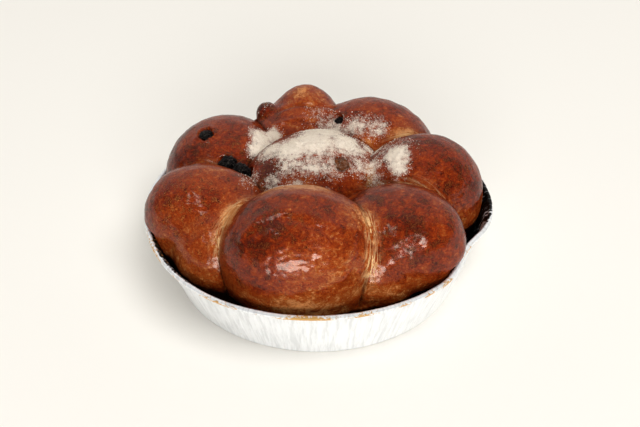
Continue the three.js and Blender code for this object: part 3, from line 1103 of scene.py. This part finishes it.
def makeGrains():
    look = sugarLook
    picker = random.Random(look["seed"])
    mesh = loaf.data
    amount = np.empty(len(mesh.vertices), dtype=np.float32)
    mesh.attributes["sugar"].data.foreach_get("value", amount)
    weights = [float(share) ** 1.3 + (0.01 if share > 0.02 else 0) for share in amount]
    chosen = picker.choices(range(len(amount)), weights=weights, k=look["count"])
    bm = bmesh.new()
    few = bmesh.new()           # a hundred at a time, which is far quicker than one large mesh
    handful = bpy.data.meshes.new("handful")
    for count, index in enumerate(chosen, 1):
        co, normal = mesh.vertices[index].co, mesh.vertices[index].normal
        size = picker.uniform(look["small"], look["large"])
        size *= look["clump"] if picker.random() < look["clumps"] else 1
        jitter = Vector([picker.uniform(-look["scatter"], look["scatter"]) for _ in range(3)])
        spot = co / mm + jitter - normal * jitter.dot(normal) + normal * size * 0.35
        turn = Matrix.Rotation(picker.uniform(0, 6), 4, "X") @ Matrix.Rotation(picker.uniform(0, 6), 4, "Z")
        shape = Matrix.Diagonal((size, size * picker.uniform(0.6, 1), size * picker.uniform(0.6, 1), 1))
        placed = Matrix.Scale(mm, 4) @ Matrix.Translation(spot) @ turn @ shape
        bmesh.ops.create_icosphere(few, subdivisions=1, radius=1, matrix=placed)
        if count % 100 == 0 or count == len(chosen):
            few.to_mesh(handful)
            bm.from_mesh(handful)
            few.clear()
    few.free()
    bpy.data.meshes.remove(handful)
    return linkMesh("sugarGrains", bm, makeSugarSkin())


grains = makeGrains()
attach(grains, "root")
print("sugar grains made")

# Colours and levels of the floor and of the room round it.
studio = {
    "floor": (243, 240, 233),
    "backdrop": (249, 245, 239),
    "backdropLevel": 0.95,
    "surround": 0.75,      # how much of the backdrop's light falls on the loaf
    "shade": 0.1,          # how bright the room behind the camera is
    "window": 0.85,        # and how bright it is towards the back
    "glint": (1.0, 0.86, 0.74),
}
# Lamps: degrees to the right of the front, degrees up, metres away, width, height, power. The glints
# only put highlights on the crust and the raisins, and the others only light.
lamps = {
    "glintFront": (-14, 7, 1.6, 0.85, 0.75, 38),
    "glintRight": (17, 27, 1.6, 0.5, 0.4, 15),
    "glintLeft": (-56, 54, 1.6, 0.3, 0.2, 2),
    "key": (32, 58, 6.0, 4.6, 3.4, 256),
    "fill": (2, 20, 6.0, 4.4, 1.7, 250),
}
view = {
    "lens": 75, "sensor": 36,
    "away": 0.85,          # metres
    "above": 37.5,         # degrees
    "aim": (1.6, 0, 37.7),
}


def makeFloor():
    bm = bmesh.new()
    bmesh.ops.create_grid(bm, x_segments=1, y_segments=1, size=6)
    material, tree, shader = newMaterial("paleFloor")
    shader.inputs["Base Color"].default_value = tone(*studio["floor"])
    shader.inputs["Roughness"].default_value = 0.9
    shader.inputs["Specular IOR Level"].default_value = 0.0
    floor = linkMesh("floor", bm, material)


def makeSurround():
    world = bpy.data.worlds.new("studio")
    world.use_nodes = True
    tree = world.node_tree
    light = tree.nodes["Background"]
    direction = addNode(tree, "SeparateXYZ")
    plug(tree, addNode(tree, "TexCoord").outputs["Generated"], direction.inputs[0])
    towardsBack = sums(tree, "MULTIPLY", direction.outputs["Z"], 0.6)
    towardsBack = sums(tree, "ADD", direction.outputs["Y"], towardsBack)
    bright = spread(tree, towardsBack, 0.05, 0.95, studio["shade"], studio["window"])
    path = addNode(tree, "LightPath")
    share = spread(tree, path.outputs["Is Diffuse Ray"], 0.0, 1.0, 1.0, studio["surround"])
    level = addNode(tree, "Mix", data_type="FLOAT")
    plug(tree, path.outputs["Is Camera Ray"], level.inputs["Factor"])
    plug(tree, sums(tree, "MULTIPLY", bright, share), level.inputs[2])
    level.inputs[3].default_value = studio["backdropLevel"]
    light.inputs["Color"].default_value = tone(*studio["backdrop"])
    plug(tree, level.outputs[0], light.inputs["Strength"])
    bpy.context.scene.world = world


def aimed(thing, place, target):
    thing.location = place
    thing.rotation_euler = (Vector(target) - thing.location).to_track_quat("-Z", "Y").to_euler()
    bpy.context.scene.collection.objects.link(thing)


def makeLamp(name, azimuth, elevation, distance, width, height, power):
    data = bpy.data.lights.new(name, "AREA")
    data.shape = "ELLIPSE"
    data.size = width
    data.size_y = height
    data.energy = power
    lamp = bpy.data.objects.new(name, data)
    if name.startswith("glint"):
        data.color = studio["glint"]
        lamp.visible_diffuse = False
        lamp.light_linking.receiver_collection = glazed
    else:
        lamp.visible_glossy = False
    turn, rise = math.radians(azimuth), math.radians(elevation)
    level = distance * math.cos(rise)
    aimed(lamp, (level * math.sin(turn), -level * math.cos(turn), distance * math.sin(rise)), (0, 0, 0.05))


def makeCamera():
    data = bpy.data.cameras.new("camera")
    data.lens = view["lens"]
    data.sensor_width = view["sensor"]
    camera = bpy.data.objects.new("camera", data)
    rise = math.radians(view["above"])
    place = (0, -view["away"] * math.cos(rise), view["away"] * math.sin(rise))
    aimed(camera, place, [part * mm for part in view["aim"]])
    bpy.context.scene.camera = camera


glazed = bpy.data.collections.new("glazed")      # what the glints reach
for piece in shiny:
    glazed.objects.link(piece)
makeFloor()
makeSurround()
for name, values in lamps.items():
    makeLamp(name, *values)
makeCamera()
bpy.context.scene.view_settings.view_transform = "Standard"
print("studio made")
